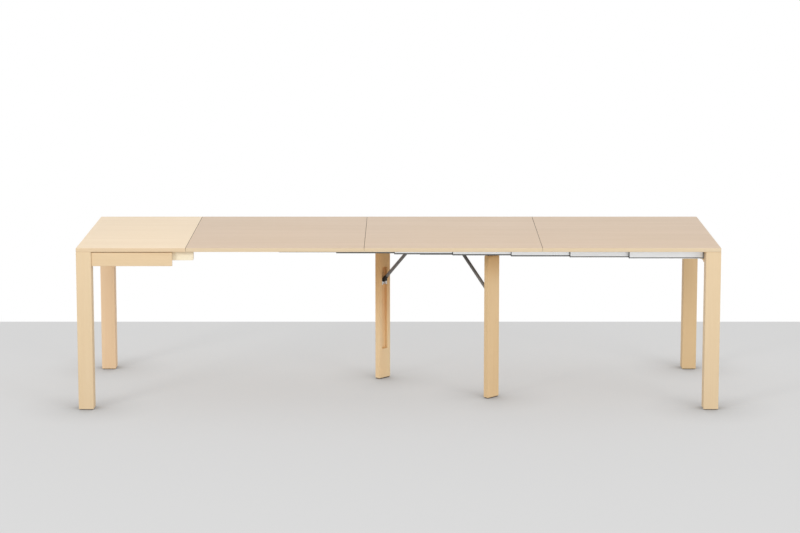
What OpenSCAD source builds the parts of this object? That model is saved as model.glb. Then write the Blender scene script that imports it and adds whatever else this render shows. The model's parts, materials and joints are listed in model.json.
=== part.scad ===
// Extendable console table, drawn at full length with its three leaves laid in.
// X runs along the length, the front edge faces -Y, and the feet stand on Z = 0.
// The console end is on the left. The end frame on the right pulls out of it on two packs
// of ten telescoping rails, and a folding support stands under the middle of the span.

/* [Top] */
// Height of the table top
table_height = 770; // [740:5:790]
// Depth of the table from front edge to rear edge
table_depth = 900; // [880:10:1000]
// Thickness of the console top and of the leaves
board_t = 18; // [16:1:24]
// Length of the fixed console top
console_len = 510; // [490:10:560]
// Length of one leaf
leaf_len = 830; // [800:5:850]
// Joint between neighbouring boards
board_joint = 0.6; // [0.4:0.1:1]
// Bevel on the edges of the boards
board_bevel = 1; // [0.5:0.25:2]
// Room between the leaves and the rails and end frame that slide below them
leaf_clear = 0.4; // [0.3:0.1:0.6]

/* [End frames] */
// Width of the square corner legs
leg_w = 70; // [60:5:75]
// Bevel on the long edges of the legs
leg_bevel = 1.5; // [0.5:0.5:4]
// Thickness of the glides under the corner legs
glide_t = 3; // [2:1:6]
// Setback of the glides from the faces of the legs
glide_setback = 4; // [2:1:10]
// Height of the aprons
apron_h = 64; // [50:2:70]
// Thickness of the aprons
apron_t = 20; // [16:1:22]
// Setback of the aprons from the front of the legs
apron_setback = 6; // [2:1:8]
// Shadow gap between the aprons and the console top
apron_gap = 4; // [2:1:6]
// Length by which the aprons stop short of the edge of the console top
apron_short = 64; // [60:1:80]
// Gap that is left at the end of the aprons with the table closed
closing_gap = 9; // [5:1:15]
// Thickness of the crossbars
crossbar_t = 28; // [20:1:32]
// Drop of the crossbars at the legs, below their straight part
haunch_h = 22; // [15:1:26]

/* [Rails] */
// Height of a rail
rail_h = 45; // [44:0.2:50]
// Thickness of a rail
rail_t = 23; // [22:0.5:24]
// Air between the faces of neighbouring rails
rail_air = 4.5; // [3:0.1:5]
// Room between the outermost rails and the legs
rail_leg_room = 8; // [6:1:10]
// Length by which the rails are shorter than the closed frame is long
rail_short = 37; // [30:1:60]
// Gap between the ends of the inner rails and the closed end frame
rail_end_gap = 1.5; // [1:0.5:4]
// Mouth of the lower guide slot
low_mouth = 4; // [3.5:0.1:5]
// Mouth of the upper guide slot
high_mouth = 2.6; // [2.4:0.1:3]
// Wall that is left above and below the guide slots
slot_wall = 2; // [1.5:0.1:3]
// Lip that a guide hook runs behind
slot_lip = 3; // [2.5:0.1:3.5]
// Depth of a guide slot behind its lip
slot_depth = 4; // [3.5:0.1:4.5]
// Height of a guide slot behind its lip
slot_reach = 8; // [7:0.5:9]
// Sliding clearance in the guide slots
slide_clear = 0.4; // [0.3:0.05:0.5]
// Diameter of the screw ports along a rail
port_d = 6.8; // [6.4:0.1:7]
// Diameter of the bolts that hold the end rails
bolt_d = 6; // [5:0.5:6]
// Diameter of the bolt heads
bolt_head_d = 13; // [11:0.5:14]
// Thickness of the bolt heads
bolt_head_t = 4; // [3:0.5:5]
// Length that a bolt reaches into its port
bolt_reach = 20; // [15:1:30]

/* [Bearers] */
// Length of the sliding bearers that carry the edge of the first leaf
bearer_len = 370; // [340:5:372]
// Thickness of the bearers
bearer_t = 38; // [30:1:40]
// Gap between an apron and its bearer
bearer_gap = 6; // [4:0.5:8]
// Reach of the bearers beyond the edge of the console top
bearer_reach = 32; // [20:1:33]
// Travel of the bearers
bearer_travel = 92; // [88:1:93]
// Running clearance around the bearers
bearer_clear = 0.5; // [0.3:0.1:0.8]
// Thickness of the straps that hold the bearers
strap_t = 3; // [2:0.5:3]
// Width of the straps
strap_w = 24; // [16:1:30]

/* [Middle support] */
// Distance from the left end of the carrying rail to the swivel
support_at = 200; // [180:2:210]
// Turn of the support from the line along the depth, with the table open
support_turn = 45; // [30:5:60]
// Distance between the two leg hinges
hinge_span = 654; // [640:2:660]
// Width of the folding legs
fold_leg_w = 76; // [70:1:78]
// Thickness of the folding legs
fold_leg_t = 28; // [27:0.5:30]
// Gap between the folded legs
lane_gap = 10.5; // [10.5:0.5:14]
// Bevel on the long edges of the folding legs
fold_leg_bevel = 1; // [0.5:0.5:2]
// Thickness of the feet of the folding legs
foot_t = 5; // [3:1:8]
// Setback of the feet from the faces of the folding legs
foot_setback = 2; // [1:0.5:4]
// Width of the groove that the shoe slides in
groove_w = 37; // [32:1:40]
// Depth of the groove
groove_depth = 18.5; // [18:0.5:19.5]
// Distance from the leg hinge to the top of the groove
groove_start = 121; // [100:1:150]
// Distance from the leg hinge to the bottom of the groove
groove_end = 532; // [490:2:560]
// Diameter of the leg hinge pins
hinge_pin_d = 10; // [8:0.5:12]
// Running clearance of pins in their bores, on the radius
pin_clear = 0.05; // [0.03:0.01:0.08]
// Width of the tongues that the legs hang on
tongue_w = 30; // [24:1:34]
// Radius of the tongues round their pins
tongue_r = 9; // [8:0.5:9]
// Wood that is left at the blind end of a hinge pin
pin_stop = 8; // [5:1:12]
// Gap beside what turns in a fork
fork_gap = 0.5; // [0.3:0.1:0.5]
// Thickness of the carrier plate under the middle rails
carrier_t = 3; // [3:0.5:4]
// Setback of the carrier plate from the outer faces of its rails
carrier_setback = 10; // [2:1:14]
// Width of the carrier plate
carrier_w = 160; // [120:5:200]
// Gap between the carrier plate and the rails that slide over it
carrier_gap = 0.5; // [0.4:0.1:1]
// Thickness of the swivel plate
swivel_t = 5; // [4:0.5:6]
// Half length of the wide middle of the swivel plate
swivel_mid = 230; // [200:5:240]
// Gap between the swivel plate and the carrier plate
swivel_gap = 1; // [0.8:0.1:1.5]
// Gap between the swivel plate and the folding legs
fold_gap = 0.5; // [0.3:0.1:1]
// Length of the swivel plate beyond each leg hinge
swivel_end = 9; // [9:1:14]
// Diameter of the swivel bolt
swivel_bolt_d = 20; // [16:1:24]
// Diameter of the flange and the nut of the swivel bolt
swivel_nut_d = 36; // [30:1:40]
// Height of the nut of the swivel bolt
swivel_nut_h = 7; // [5:1:10]

/* [Struts] */
// Diameter of the strut tubes
strut_d = 16; // [14:0.5:16]
// Distance from the leg hinge to the strut hinge along the swivel plate
strut_reach = 203; // [190:0.5:210]
// Height of the strut hinge above the leg hinge
strut_rise = 5; // [4.5:0.1:5.2]
// Drop from the leg hinge to the lower end of the strut, with the leg upright
strut_drop = 188; // [180:0.5:196]
// Diameter of the strut hinge pins
strut_pin_d = 6; // [5:0.5:7]
// Thickness of the flat eye at the upper end of a strut
eye_t = 8; // [6:0.5:9]
// Radius of the ears beside the flat eye
eye_r = 7; // [6:0.5:7]
// Thickness of the ears
ear_t = 3; // [2:0.5:4]
// Gap between the strut tube and the ears of its hinge
neck_gap = 7; // [6:0.5:10]
// Narrowing of the flat neck of a strut, at each edge
neck_cut = 2; // [1:0.25:3]
// Diameter of the black sleeve at the lower end of a strut
sleeve_d = 18; // [17:0.5:18]
// Length of the sleeve
sleeve_len = 36; // [18:1:40]
// Depth of the closed end of the sleeve
sleeve_end = 4; // [3:0.5:6]
// Length of a shoe beyond the end of the strut
shoe_below = 12; // [8:1:16]
// Length of the cheeks of a shoe beside the end of the strut
shoe_up = 4.5; // [3:0.5:8]
// Thickness of the web between the cheeks, which the strut passes over as its leg folds
shoe_web = 2; // [1.5:0.25:2.2]
// Side clearance of a shoe in the groove
shoe_clear = 0.4; // [0.3:0.1:0.6]
// Depth of the shoe face below the face of the leg
shoe_sunk = 1; // [0.5:0.25:3]

/* [Hidden] */
$fn = 48;
EPS = 1; // overrun of cuts
FRONT = "front";
REAR = "rear";

// Lengths along X, worked out from the boards
LEAVES = 3;
RAILS = 10; // rails in one pack
CARRYING_RAIL = RAILS / 2; // the rail that carries the middle support
table_len = console_len + LEAVES * leaf_len;
half_len = table_len / 2;
half_depth = table_depth / 2;
inner_x = half_len - leg_w; // inner faces of the end frames
apron_len = console_len - leg_w - apron_short;
closed_room = apron_len + closing_gap; // between the end frames, closed
rail_step = (table_len - 2 * leg_w - closed_room) / (RAILS - 1); // travel of one rail on the next
rail_len = closed_room - rail_short;
support_x = rail_x0(CARRYING_RAIL) + support_at; // place of the swivel

// Heights
board_z = table_height - board_t; // underside of the boards
slide_top_z = board_z - leaf_clear; // top of all that slides below the leaves
rail_z = slide_top_z - rail_h;
crossbar_y = half_depth - leg_w;
rail_pitch = rail_t + rail_air;
rail_1_y = crossbar_y - rail_leg_room; // outer face of the outermost rail

// Middle support, in a frame at a leg hinge with +X towards the other hinge and -Y outwards
carrier_top_z = rail_z - carrier_gap;
carrier_z = carrier_top_z - carrier_t;
swivel_top_z = carrier_z - swivel_gap;
swivel_z = swivel_top_z - swivel_t;
hinge_z = swivel_z - fold_gap - fold_leg_t / 2;
plate_z = swivel_z - hinge_z; // underside of the swivel plate above the leg hinge
lane_y = (fold_leg_w + lane_gap) / 2;
swivel_half_w = lane_y + fold_leg_w / 2;
strut_dx = strut_reach - strut_rise;
strut_dz = strut_drop + strut_rise;
strut_len = norm([strut_dx, strut_dz]);
strut_angle = atan2(strut_dz, strut_dx); // below the horizontal, towards the leg
shoe_half_w = groove_w / 2 - shoe_clear;
shoe_x = fold_leg_t / 2 - groove_depth + shoe_clear;
shoe_top = strut_drop - shoe_up;
shoe_web_z = strut_drop + sleeve_d / 2 + fork_gap; // top of the web

WOOD = [0.91, 0.80, 0.63];
LEAF_WOOD = [0.85, 0.76, 0.66];
CREAM = [0.96, 0.92, 0.84];
ALUMINIUM = [0.86, 0.87, 0.86];
DARK_STEEL = [0.33, 0.33, 0.34];
ZINC = [0.66, 0.67, 0.68];
BLACK = [0.08, 0.08, 0.08];

// Shared shapes

// A flat board with bevelled edges, its low corner at the origin
module bevelled_board(size, bevel) {
    intersection() {
        translate([0, size.y, 0]) rotate([90, 0, 0])
            linear_extrude(size.y) bevelled_rect([size.x, size.z], bevel);
        rotate([90, 0, 90]) linear_extrude(size.x) bevelled_rect([size.y, size.z], bevel);
    }
}

// A rectangle with its four corners cut at 45 degrees
module bevelled_rect(size, bevel) {
    polygon([
        [bevel, 0], [size.x - bevel, 0], [size.x, bevel], [size.x, size.y - bevel],
        [size.x - bevel, size.y], [bevel, size.y], [0, size.y - bevel], [0, bevel]
    ]);
}

// Front pieces are drawn, and rear ones are their mirror image
module on_side(side) {
    if (side == FRONT) children();
    else mirror([0, 1, 0]) children();
}

// Console and end frame

module board(x0, x1) {
    color(LEAF_WOOD) translate([x0, -half_depth, board_z])
        bevelled_board([x1 - x0, table_depth, board_t], board_bevel);
}

module leaf(n) {
    x0 = -half_len + console_len + (n - 1) * leaf_len + board_joint / 2;
    board(x0, n == LEAVES ? half_len : x0 + leaf_len - board_joint);
}

module console_top() {
    color(WOOD) board(-half_len, -half_len + console_len - board_joint / 2);
}

module corner_leg(x0, side, top_z) {
    color(WOOD) on_side(side) translate([x0, -half_depth, glide_t])
        linear_extrude(top_z - glide_t) bevelled_rect([leg_w, leg_w], leg_bevel);
}

module glides(x0) {
    w = leg_w - 2 * glide_setback;
    color(BLACK) for (side = [FRONT, REAR])
        on_side(side) translate([x0 + glide_setback, -half_depth + glide_setback, 0])
            cube([w, w, glide_t]);
}

module apron(side) {
    color(WOOD) on_side(side)
        translate([-inner_x, -half_depth + apron_setback, board_z - apron_gap - apron_h])
            cube([apron_len, apron_t, apron_h]);
}

// The section of a crossbar, straight between rounded haunches, so that the support passes below
module crossbar_2d(top_z) {
    translate([-crossbar_y, rail_z]) square([2 * crossbar_y, top_z - rail_z]);
    for (s = [-1, 1]) scale([s, 1]) difference() {
        translate([crossbar_y - haunch_h, rail_z - haunch_h]) square([haunch_h, haunch_h + EPS]);
        translate([crossbar_y - haunch_h, rail_z - haunch_h]) circle(haunch_h);
    }
}

// A crossbar, bored for the bolts of the k-th rails
module crossbar(x0, top_z, k) {
    color(WOOD) difference() {
        translate([x0, 0, 0]) rotate([90, 0, 90]) linear_extrude(crossbar_t) crossbar_2d(top_z);
        for (side = [FRONT, REAR], z = port_heights())
            on_side(side) translate([x0 - EPS, bolt_y(k), z]) rotate([0, 90, 0])
                cylinder(d = port_d, h = crossbar_t + 2 * EPS);
    }
}

// Rails

function rail_y(k) = -rail_1_y + (k - 1) * rail_pitch;
function port_heights() = [rail_z + rail_h * 0.32, rail_z + rail_h * 0.68];
function port_u() = (rail_t + slot_lip + slot_depth) / 2;
function bolt_y(k) = rail_y(k) + port_u();

// Section of a rail, with its outer face on X = 0
module rail_body_2d() {
    difference() {
        square([rail_t, rail_h]);
        translate([-EPS, slot_wall]) square([slot_lip + 2 * EPS, low_mouth]);
        translate([slot_lip, slot_wall]) square([slot_depth, slot_reach]);
        translate([-EPS, rail_h - slot_wall - high_mouth]) square([slot_lip + 2 * EPS, high_mouth]);
        translate([slot_lip, rail_h - slot_wall - slot_reach]) square([slot_depth, slot_reach]);
        for (z = port_heights()) translate([port_u(), z - rail_z]) circle(d = port_d);
    }
}

// Hooks on the inner face, which run in the slots of the next rail
module rail_hooks_2d() {
    tip = rail_pitch + slot_lip + slot_depth - slide_clear;
    back = rail_pitch + slot_lip + slide_clear;
    base = slot_wall + slide_clear;
    reach = slot_reach - 2 * slide_clear;
    translate([rail_t - EPS, base]) square([tip - rail_t + EPS, low_mouth - 2 * slide_clear]);
    translate([back, base]) square([tip - back, reach]);
    translate([rail_t - EPS, rail_h - slot_wall - high_mouth + slide_clear])
        square([tip - rail_t + EPS, high_mouth - 2 * slide_clear]);
    translate([back, rail_h - base - reach]) square([tip - back, reach]);
}

function rail_x0(k) = k == RAILS ? -inner_x : inner_x - rail_len - (k - 1) * rail_step;
function rail_x1(k) = inner_x - (k - 1) * rail_step - (k == 1 ? 0 : rail_end_gap);

module rail(k, side) {
    color(ALUMINIUM) on_side(side) translate([rail_x0(k), rail_y(k), rail_z])
        rotate([90, 0, 90]) linear_extrude(rail_x1(k) - rail_x0(k)) {
            rail_body_2d();
            if (k < RAILS) rail_hooks_2d();
        }
}

// Bolts through a crossbar into the ends of a rail. out is the way that the heads face.
module rail_bolts(x_face, k, out) {
    color(ZINC) for (side = [FRONT, REAR], z = port_heights())
        on_side(side) translate([x_face, bolt_y(k), z]) rotate([0, 90 * out, 0]) {
            cylinder(d = bolt_head_d, h = bolt_head_t);
            translate([0, 0, -crossbar_t - bolt_reach]) cylinder(d = bolt_d, h = crossbar_t + bolt_reach);
        }
}

// Bearers

bearer_y = -half_depth + apron_setback + apron_t + bearer_gap;
bearer_top_z = board_z - bearer_clear;
bearer_x1 = -half_len + console_len + bearer_reach;

module bearer(side) {
    color(CREAM) on_side(side) translate([bearer_x1 - bearer_len, bearer_y, rail_z])
        bevelled_board([bearer_len, bearer_t, bearer_top_z - rail_z], board_bevel);
}

// Each strap runs from the apron under the bearer and up to the console top
module bearer_straps() {
    y0 = bearer_y - bearer_gap;
    y1 = bearer_y + bearer_t + bearer_clear;
    z1 = rail_z - bearer_clear;
    first_x = bearer_x1 - bearer_len;
    color(ZINC) for (side = [FRONT, REAR], x = [first_x, -inner_x + apron_len - 2 * strap_w])
        on_side(side) translate([x, 0, 0]) {
            translate([0, y0, z1 - strap_t]) cube([strap_w, y1 - y0 + strap_t, strap_t]);
            translate([0, y1, z1 - strap_t]) cube([strap_w, strap_t, board_z - z1 + strap_t]);
        }
}

// Middle support

// Puts its children at the hinge of one folding leg
module at_hinge(side) {
    translate([support_x, 0, hinge_z]) rotate([0, 0, -support_turn + (side == FRONT ? 180 : 0)])
        translate([-hinge_span / 2, -lane_y, 0]) children();
}

// Turns a plane figure in X and Z into a plate of a given width, centred on Y = 0
module across(width) {
    translate([0, width / 2, 0]) rotate([90, 0, 0]) linear_extrude(width) children();
}

module carrier_plate() {
    inner_y = -rail_y(CARRYING_RAIL) - rail_t;
    outer_y = -rail_y(CARRYING_RAIL) - carrier_setback;
    color(DARK_STEEL) difference() {
        union() {
            translate([support_x - carrier_w / 2, -outer_y, carrier_z])
                cube([carrier_w, 2 * outer_y, carrier_t]);
            for (side = [FRONT, REAR]) on_side(side)
                translate([support_x - carrier_w / 2, -outer_y, carrier_z])
                    cube([carrier_w, outer_y - inner_y, rail_z - carrier_z]);
        }
        translate([support_x, 0, carrier_z - EPS])
            cylinder(r = swivel_bolt_d / 2 + pin_clear, h = carrier_t + 2 * EPS);
    }
}

// The outline of the swivel plate: a wide middle, and a tab over each leg hinge
module swivel_2d() {
    half = hinge_span / 2 + swivel_end;
    square([2 * swivel_mid, 2 * swivel_half_w], center = true);
    for (s = [-1, 1]) scale(s)
        translate([0, lane_y - fold_leg_w / 2]) square([half, fold_leg_w]);
}

module swivel_plate() {
    color(DARK_STEEL) {
        translate([support_x, 0, swivel_z]) rotate([0, 0, -support_turn]) difference() {
            union() {
                linear_extrude(swivel_t) swivel_2d();
                cylinder(d = swivel_nut_d, h = swivel_t + swivel_gap / 2);
            }
            translate([0, 0, -EPS]) cylinder(r = swivel_bolt_d / 2 + pin_clear, h = swivel_t + 2 * EPS);
            translate([0, 0, -EPS])
                cylinder(r = swivel_nut_d / 2 + pin_clear, h = swivel_t / 2 + EPS);
        }
        for (side = [FRONT, REAR]) at_hinge(side) {
            across(tongue_w) hanging_eye(tongue_r, 0, hinge_pin_d / 2 + pin_clear);
            for (s = [-1, 1]) translate([strut_reach, s * (eye_t / 2 + fork_gap + ear_t / 2), 0])
                across(ear_t) hanging_eye(eye_r, strut_rise, strut_pin_d / 2 + pin_clear);
        }
    }
}

// A flat eye with a round lower end, which hangs from the swivel plate
module hanging_eye(r, pin_z, pin_r) {
    difference() {
        union() {
            translate([0, pin_z]) circle(r);
            translate([-r, pin_z]) square([2 * r, plate_z - pin_z]);
        }
        translate([0, pin_z]) circle(pin_r);
    }
}

module swivel_bolt() {
    color(ZINC) translate([support_x, 0, swivel_z]) {
        cylinder(d = swivel_nut_d, h = swivel_t / 2);
        cylinder(d = swivel_bolt_d, h = carrier_top_z + carrier_gap - swivel_z + EPS);
        translate([0, 0, carrier_top_z + carrier_gap - swivel_z])
            cylinder(d = swivel_nut_d, h = swivel_nut_h);
    }
}

// The leg pins are driven in from outside, and end blind in the wood
module support_pins() {
    pin_len = fold_leg_w - pin_stop - 2 * fork_gap;
    strut_pin_w = eye_t + 2 * (fork_gap + ear_t);
    color(ZINC) for (side = [FRONT, REAR]) at_hinge(side) {
        translate([0, -fold_leg_w / 2 + fork_gap + pin_len / 2, 0]) across(pin_len) circle(d = hinge_pin_d);
        translate([strut_reach, 0, strut_rise]) across(strut_pin_w) circle(d = strut_pin_d);
    }
}

module fold_leg(side) {
    r = fold_leg_t / 2;
    len = hinge_z - foot_t;
    slot_r = tongue_r + fork_gap;
    slot_w = tongue_w + 2 * fork_gap;
    color(WOOD) at_hinge(side) difference() {
        intersection() {
            across(fold_leg_w) {
                circle(r);
                translate([-r, -len]) square([2 * r, len]);
            }
            translate([-r, -fold_leg_w / 2, -len])
                linear_extrude(len + r) bevelled_rect([2 * r, fold_leg_w], fold_leg_bevel);
        }
        translate([0, -pin_stop, 0]) across(fold_leg_w) circle(hinge_pin_d / 2 + pin_clear);
        translate([-slot_r, -slot_w / 2, -slot_r]) cube([2 * r, slot_w, 2 * slot_r + r]);
        translate([r - groove_depth, -groove_w / 2, -groove_end])
            cube([groove_depth + EPS, groove_w, groove_end - groove_start]);
    }
}

module foot(side) {
    size = [fold_leg_t - 2 * foot_setback, fold_leg_w - 2 * foot_setback, foot_t];
    color(BLACK) at_hinge(side) translate([-size.x / 2, -size.y / 2, -hinge_z]) cube(size);
}

// Puts its children at the upper end of a strut, with +X down along the strut
module along_strut(side) {
    at_hinge(side) translate([strut_reach, 0, strut_rise]) rotate([0, 180 - strut_angle, 0]) children();
}

module strut(side) {
    tube_start = eye_r + neck_gap;
    socket_end = strut_len - sleeve_end;
    color(DARK_STEEL) along_strut(side) difference() {
        union() {
            across(eye_t) {
                circle(eye_r - fork_gap);
                translate([0, neck_cut - eye_r]) square([tube_start, 2 * (eye_r - neck_cut)]);
            }
            translate([tube_start, 0, 0]) rotate([0, 90, 0])
                cylinder(d = strut_d, h = socket_end - tube_start);
        }
        across(eye_t + 2 * EPS) circle(strut_pin_d / 2 + pin_clear);
    }
}

module sleeve(side) {
    color(BLACK) along_strut(side) difference() {
        union() {
            translate([strut_len - sleeve_len, 0, 0]) rotate([0, 90, 0])
                cylinder(d = sleeve_d, h = sleeve_len);
            translate([strut_len, 0, 0]) sphere(d = sleeve_d);
        }
        translate([strut_len - sleeve_len - EPS, 0, 0]) rotate([0, 90, 0])
            cylinder(r = strut_d / 2 + pin_clear, h = sleeve_len + EPS - sleeve_end);
    }
}

// A fork around the end of the strut, which slides in the groove of the leg
module shoe(side) {
    depth = fold_leg_t / 2 - shoe_sunk - shoe_x;
    cheek_y = sleeve_d / 2 + fork_gap;
    low_z = shoe_web_z + shoe_below;
    color(ZINC) at_hinge(side) {
        translate([shoe_x, -shoe_half_w, -low_z]) cube([shoe_web, 2 * shoe_half_w, shoe_below]);
        for (s = [-1, 1]) translate([shoe_x, s > 0 ? cheek_y : -shoe_half_w, -low_z])
            cube([depth, shoe_half_w - cheek_y, low_z - shoe_top]);
    }
}

console_top();
corner_leg(-half_len, FRONT, board_z);  // front_left_leg
corner_leg(-half_len, REAR, board_z);  // rear_left_leg
apron(FRONT);  // front_apron
apron(REAR);  // rear_apron
crossbar(-inner_x - crossbar_t, board_z, RAILS);  // left_crossbar
glides(-half_len);  // left_glides
rail_bolts(-inner_x - crossbar_t, RAILS, -1);  // left_bolts
rail(10, FRONT);  // front_rail_10
rail(10, REAR);  // rear_rail_10
bearer_straps();
corner_leg(inner_x, FRONT, slide_top_z);  // front_right_leg
corner_leg(inner_x, REAR, slide_top_z);  // rear_right_leg
crossbar(inner_x, slide_top_z, 1);  // right_crossbar
glides(inner_x);  // right_glides
rail_bolts(inner_x + crossbar_t, 1, 1);  // right_bolts
rail(1, FRONT);  // front_rail_1
rail(1, REAR);  // rear_rail_1
rail(2, FRONT);  // front_rail_2
rail(2, REAR);  // rear_rail_2
rail(3, FRONT);  // front_rail_3
rail(3, REAR);  // rear_rail_3
rail(4, FRONT);  // front_rail_4
rail(4, REAR);  // rear_rail_4
rail(5, FRONT);  // front_rail_5
rail(5, REAR);  // rear_rail_5
rail(6, FRONT);  // front_rail_6
rail(6, REAR);  // rear_rail_6
rail(7, FRONT);  // front_rail_7
rail(7, REAR);  // rear_rail_7
rail(8, FRONT);  // front_rail_8
rail(8, REAR);  // rear_rail_8
rail(9, FRONT);  // front_rail_9
rail(9, REAR);  // rear_rail_9
leaf(1);  // leaf_1
leaf(2);  // leaf_2
leaf(3);  // leaf_3
bearer(FRONT);  // front_bearer
bearer(REAR);  // rear_bearer
carrier_plate();
swivel_plate();
swivel_bolt();
support_pins();
fold_leg(REAR);  // rear_fold_leg
fold_leg(FRONT);  // front_fold_leg
foot(REAR);  // rear_foot
foot(FRONT);  // front_foot
strut(REAR);  // rear_strut
strut(FRONT);  // front_strut
sleeve(REAR);  // rear_sleeve
sleeve(FRONT);  // front_sleeve
shoe(REAR);  // rear_shoe
shoe(FRONT);  // front_shoe
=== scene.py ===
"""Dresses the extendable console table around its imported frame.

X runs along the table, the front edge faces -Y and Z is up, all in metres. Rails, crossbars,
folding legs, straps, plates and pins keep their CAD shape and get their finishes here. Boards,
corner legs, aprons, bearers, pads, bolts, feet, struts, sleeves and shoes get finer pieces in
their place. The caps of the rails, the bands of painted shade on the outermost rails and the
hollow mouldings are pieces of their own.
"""
import json
import logging
import math
from dataclasses import dataclass
from enum import Enum, IntEnum
from typing import Dict, List, Mapping, NamedTuple, Optional, Sequence, Tuple, Union

import bmesh
import bpy
from mathutils import Matrix, Vector

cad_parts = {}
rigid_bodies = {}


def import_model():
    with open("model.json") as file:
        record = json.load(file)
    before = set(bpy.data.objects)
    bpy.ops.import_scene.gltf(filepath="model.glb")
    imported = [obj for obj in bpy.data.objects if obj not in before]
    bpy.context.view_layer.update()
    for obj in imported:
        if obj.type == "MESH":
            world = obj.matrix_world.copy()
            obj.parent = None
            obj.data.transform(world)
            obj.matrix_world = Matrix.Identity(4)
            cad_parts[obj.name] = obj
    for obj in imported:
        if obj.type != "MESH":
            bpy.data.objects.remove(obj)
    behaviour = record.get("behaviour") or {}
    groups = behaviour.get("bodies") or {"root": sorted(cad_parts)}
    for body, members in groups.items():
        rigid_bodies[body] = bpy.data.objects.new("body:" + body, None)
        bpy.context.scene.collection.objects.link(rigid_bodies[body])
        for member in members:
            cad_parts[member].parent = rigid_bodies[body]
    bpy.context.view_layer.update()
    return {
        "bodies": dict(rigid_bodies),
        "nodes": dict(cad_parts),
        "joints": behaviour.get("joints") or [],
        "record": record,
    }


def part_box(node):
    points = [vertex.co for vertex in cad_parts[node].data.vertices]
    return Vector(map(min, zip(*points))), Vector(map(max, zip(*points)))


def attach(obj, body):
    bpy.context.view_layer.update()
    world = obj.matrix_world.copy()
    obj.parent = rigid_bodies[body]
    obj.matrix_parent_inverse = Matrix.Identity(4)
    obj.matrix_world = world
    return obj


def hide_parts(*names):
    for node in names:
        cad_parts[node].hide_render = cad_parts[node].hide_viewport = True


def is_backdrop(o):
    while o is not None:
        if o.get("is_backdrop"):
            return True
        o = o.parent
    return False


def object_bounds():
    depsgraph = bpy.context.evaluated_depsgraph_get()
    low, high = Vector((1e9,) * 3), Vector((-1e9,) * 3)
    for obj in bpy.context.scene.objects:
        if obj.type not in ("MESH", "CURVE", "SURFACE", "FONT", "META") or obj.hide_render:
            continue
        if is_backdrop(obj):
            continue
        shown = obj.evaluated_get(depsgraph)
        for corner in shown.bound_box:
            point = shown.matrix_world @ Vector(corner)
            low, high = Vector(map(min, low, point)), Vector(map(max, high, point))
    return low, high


LOG = logging.getLogger("console_table")

MM = 0.001
SIDES = ("front", "rear")
ENDS = ("left", "right")
RAIL_COUNT = 10
ROUND_FACETS = 36
CORNER_FACETS = 6
EDGE_FACETS = 3
FINE_FACETS = 2
QUARTER_TURN = math.pi / 2
UP = Vector((0, 0, 1))
BLACK = (0.0, 0.0, 0.0, 1.0)
WHITE = (1.0, 1.0, 1.0, 1.0)

# A face looks along a way if its normal has more than this share of it.
LOOKS_ALONG = 0.9
# An edge is level if its ends differ in height by less than this, in metres.
LEVEL_WITHIN = 1e-6
# An edge is a corner if its two faces turn by more than this, in radians.
SHARP_TURN = 1.0

Triple = Tuple[float, float, float]
Colour = Tuple[int, int, int]
Value = Union[bpy.types.NodeSocket, float, Sequence[float]]
Feeds = Mapping[Union[str, int], Value]
Sockets = Mapping[str, bpy.types.NodeSocket]
Pattern = Tuple[bpy.types.NodeSocket, bpy.types.NodeSocket]


class Grain(Enum):
    """The way that the grain of a piece runs, as the turn that brings it along X."""

    ALONG_X = (0.0, 0.0, 0.0)
    ALONG_Y = (0.0, 0.0, -QUARTER_TURN)
    ALONG_Z = (0.0, QUARTER_TURN, 0.0)


class Slot(Enum):
    """The material slots of the record."""

    TOP = "top_wood"
    LEAF = "leaf_wood"
    FRAME = "frame_wood"
    BEARER = "bearer_lacquer"
    DARK = "dark_steel"
    ZINC = "zinc_steel"
    BLACK = "black_plastic"


class BoardPart(IntEnum):
    """The parts of a board that have finishes of their own, by material index."""

    FACE = 0
    EDGE = 1
    JOINT = 2
    UNDERSIDE = 3


def linear(colour: Colour) -> Tuple[float, float, float, float]:
    """Turns a colour as a screen shows it into scene values.

    Args:
        colour: Red, green and blue, from 0 to 255.

    Returns:
        The linear colour, with an alpha of 1.
    """

    def channel(value: float) -> float:
        """Decodes one channel."""
        value /= 255
        return value / 12.92 if value <= 0.04045 else ((value + 0.055) / 1.055) ** 2.4

    red, green, blue = colour
    return channel(red), channel(green), channel(blue), 1.0


# Finishes


class Noise(NamedTuple):
    """A noise: features per metre, octaves, warping, and the values it is spread between."""

    stretch: Triple
    detail: float
    distortion: float = 0.0
    low: float = 0.3
    high: float = 0.7


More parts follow.
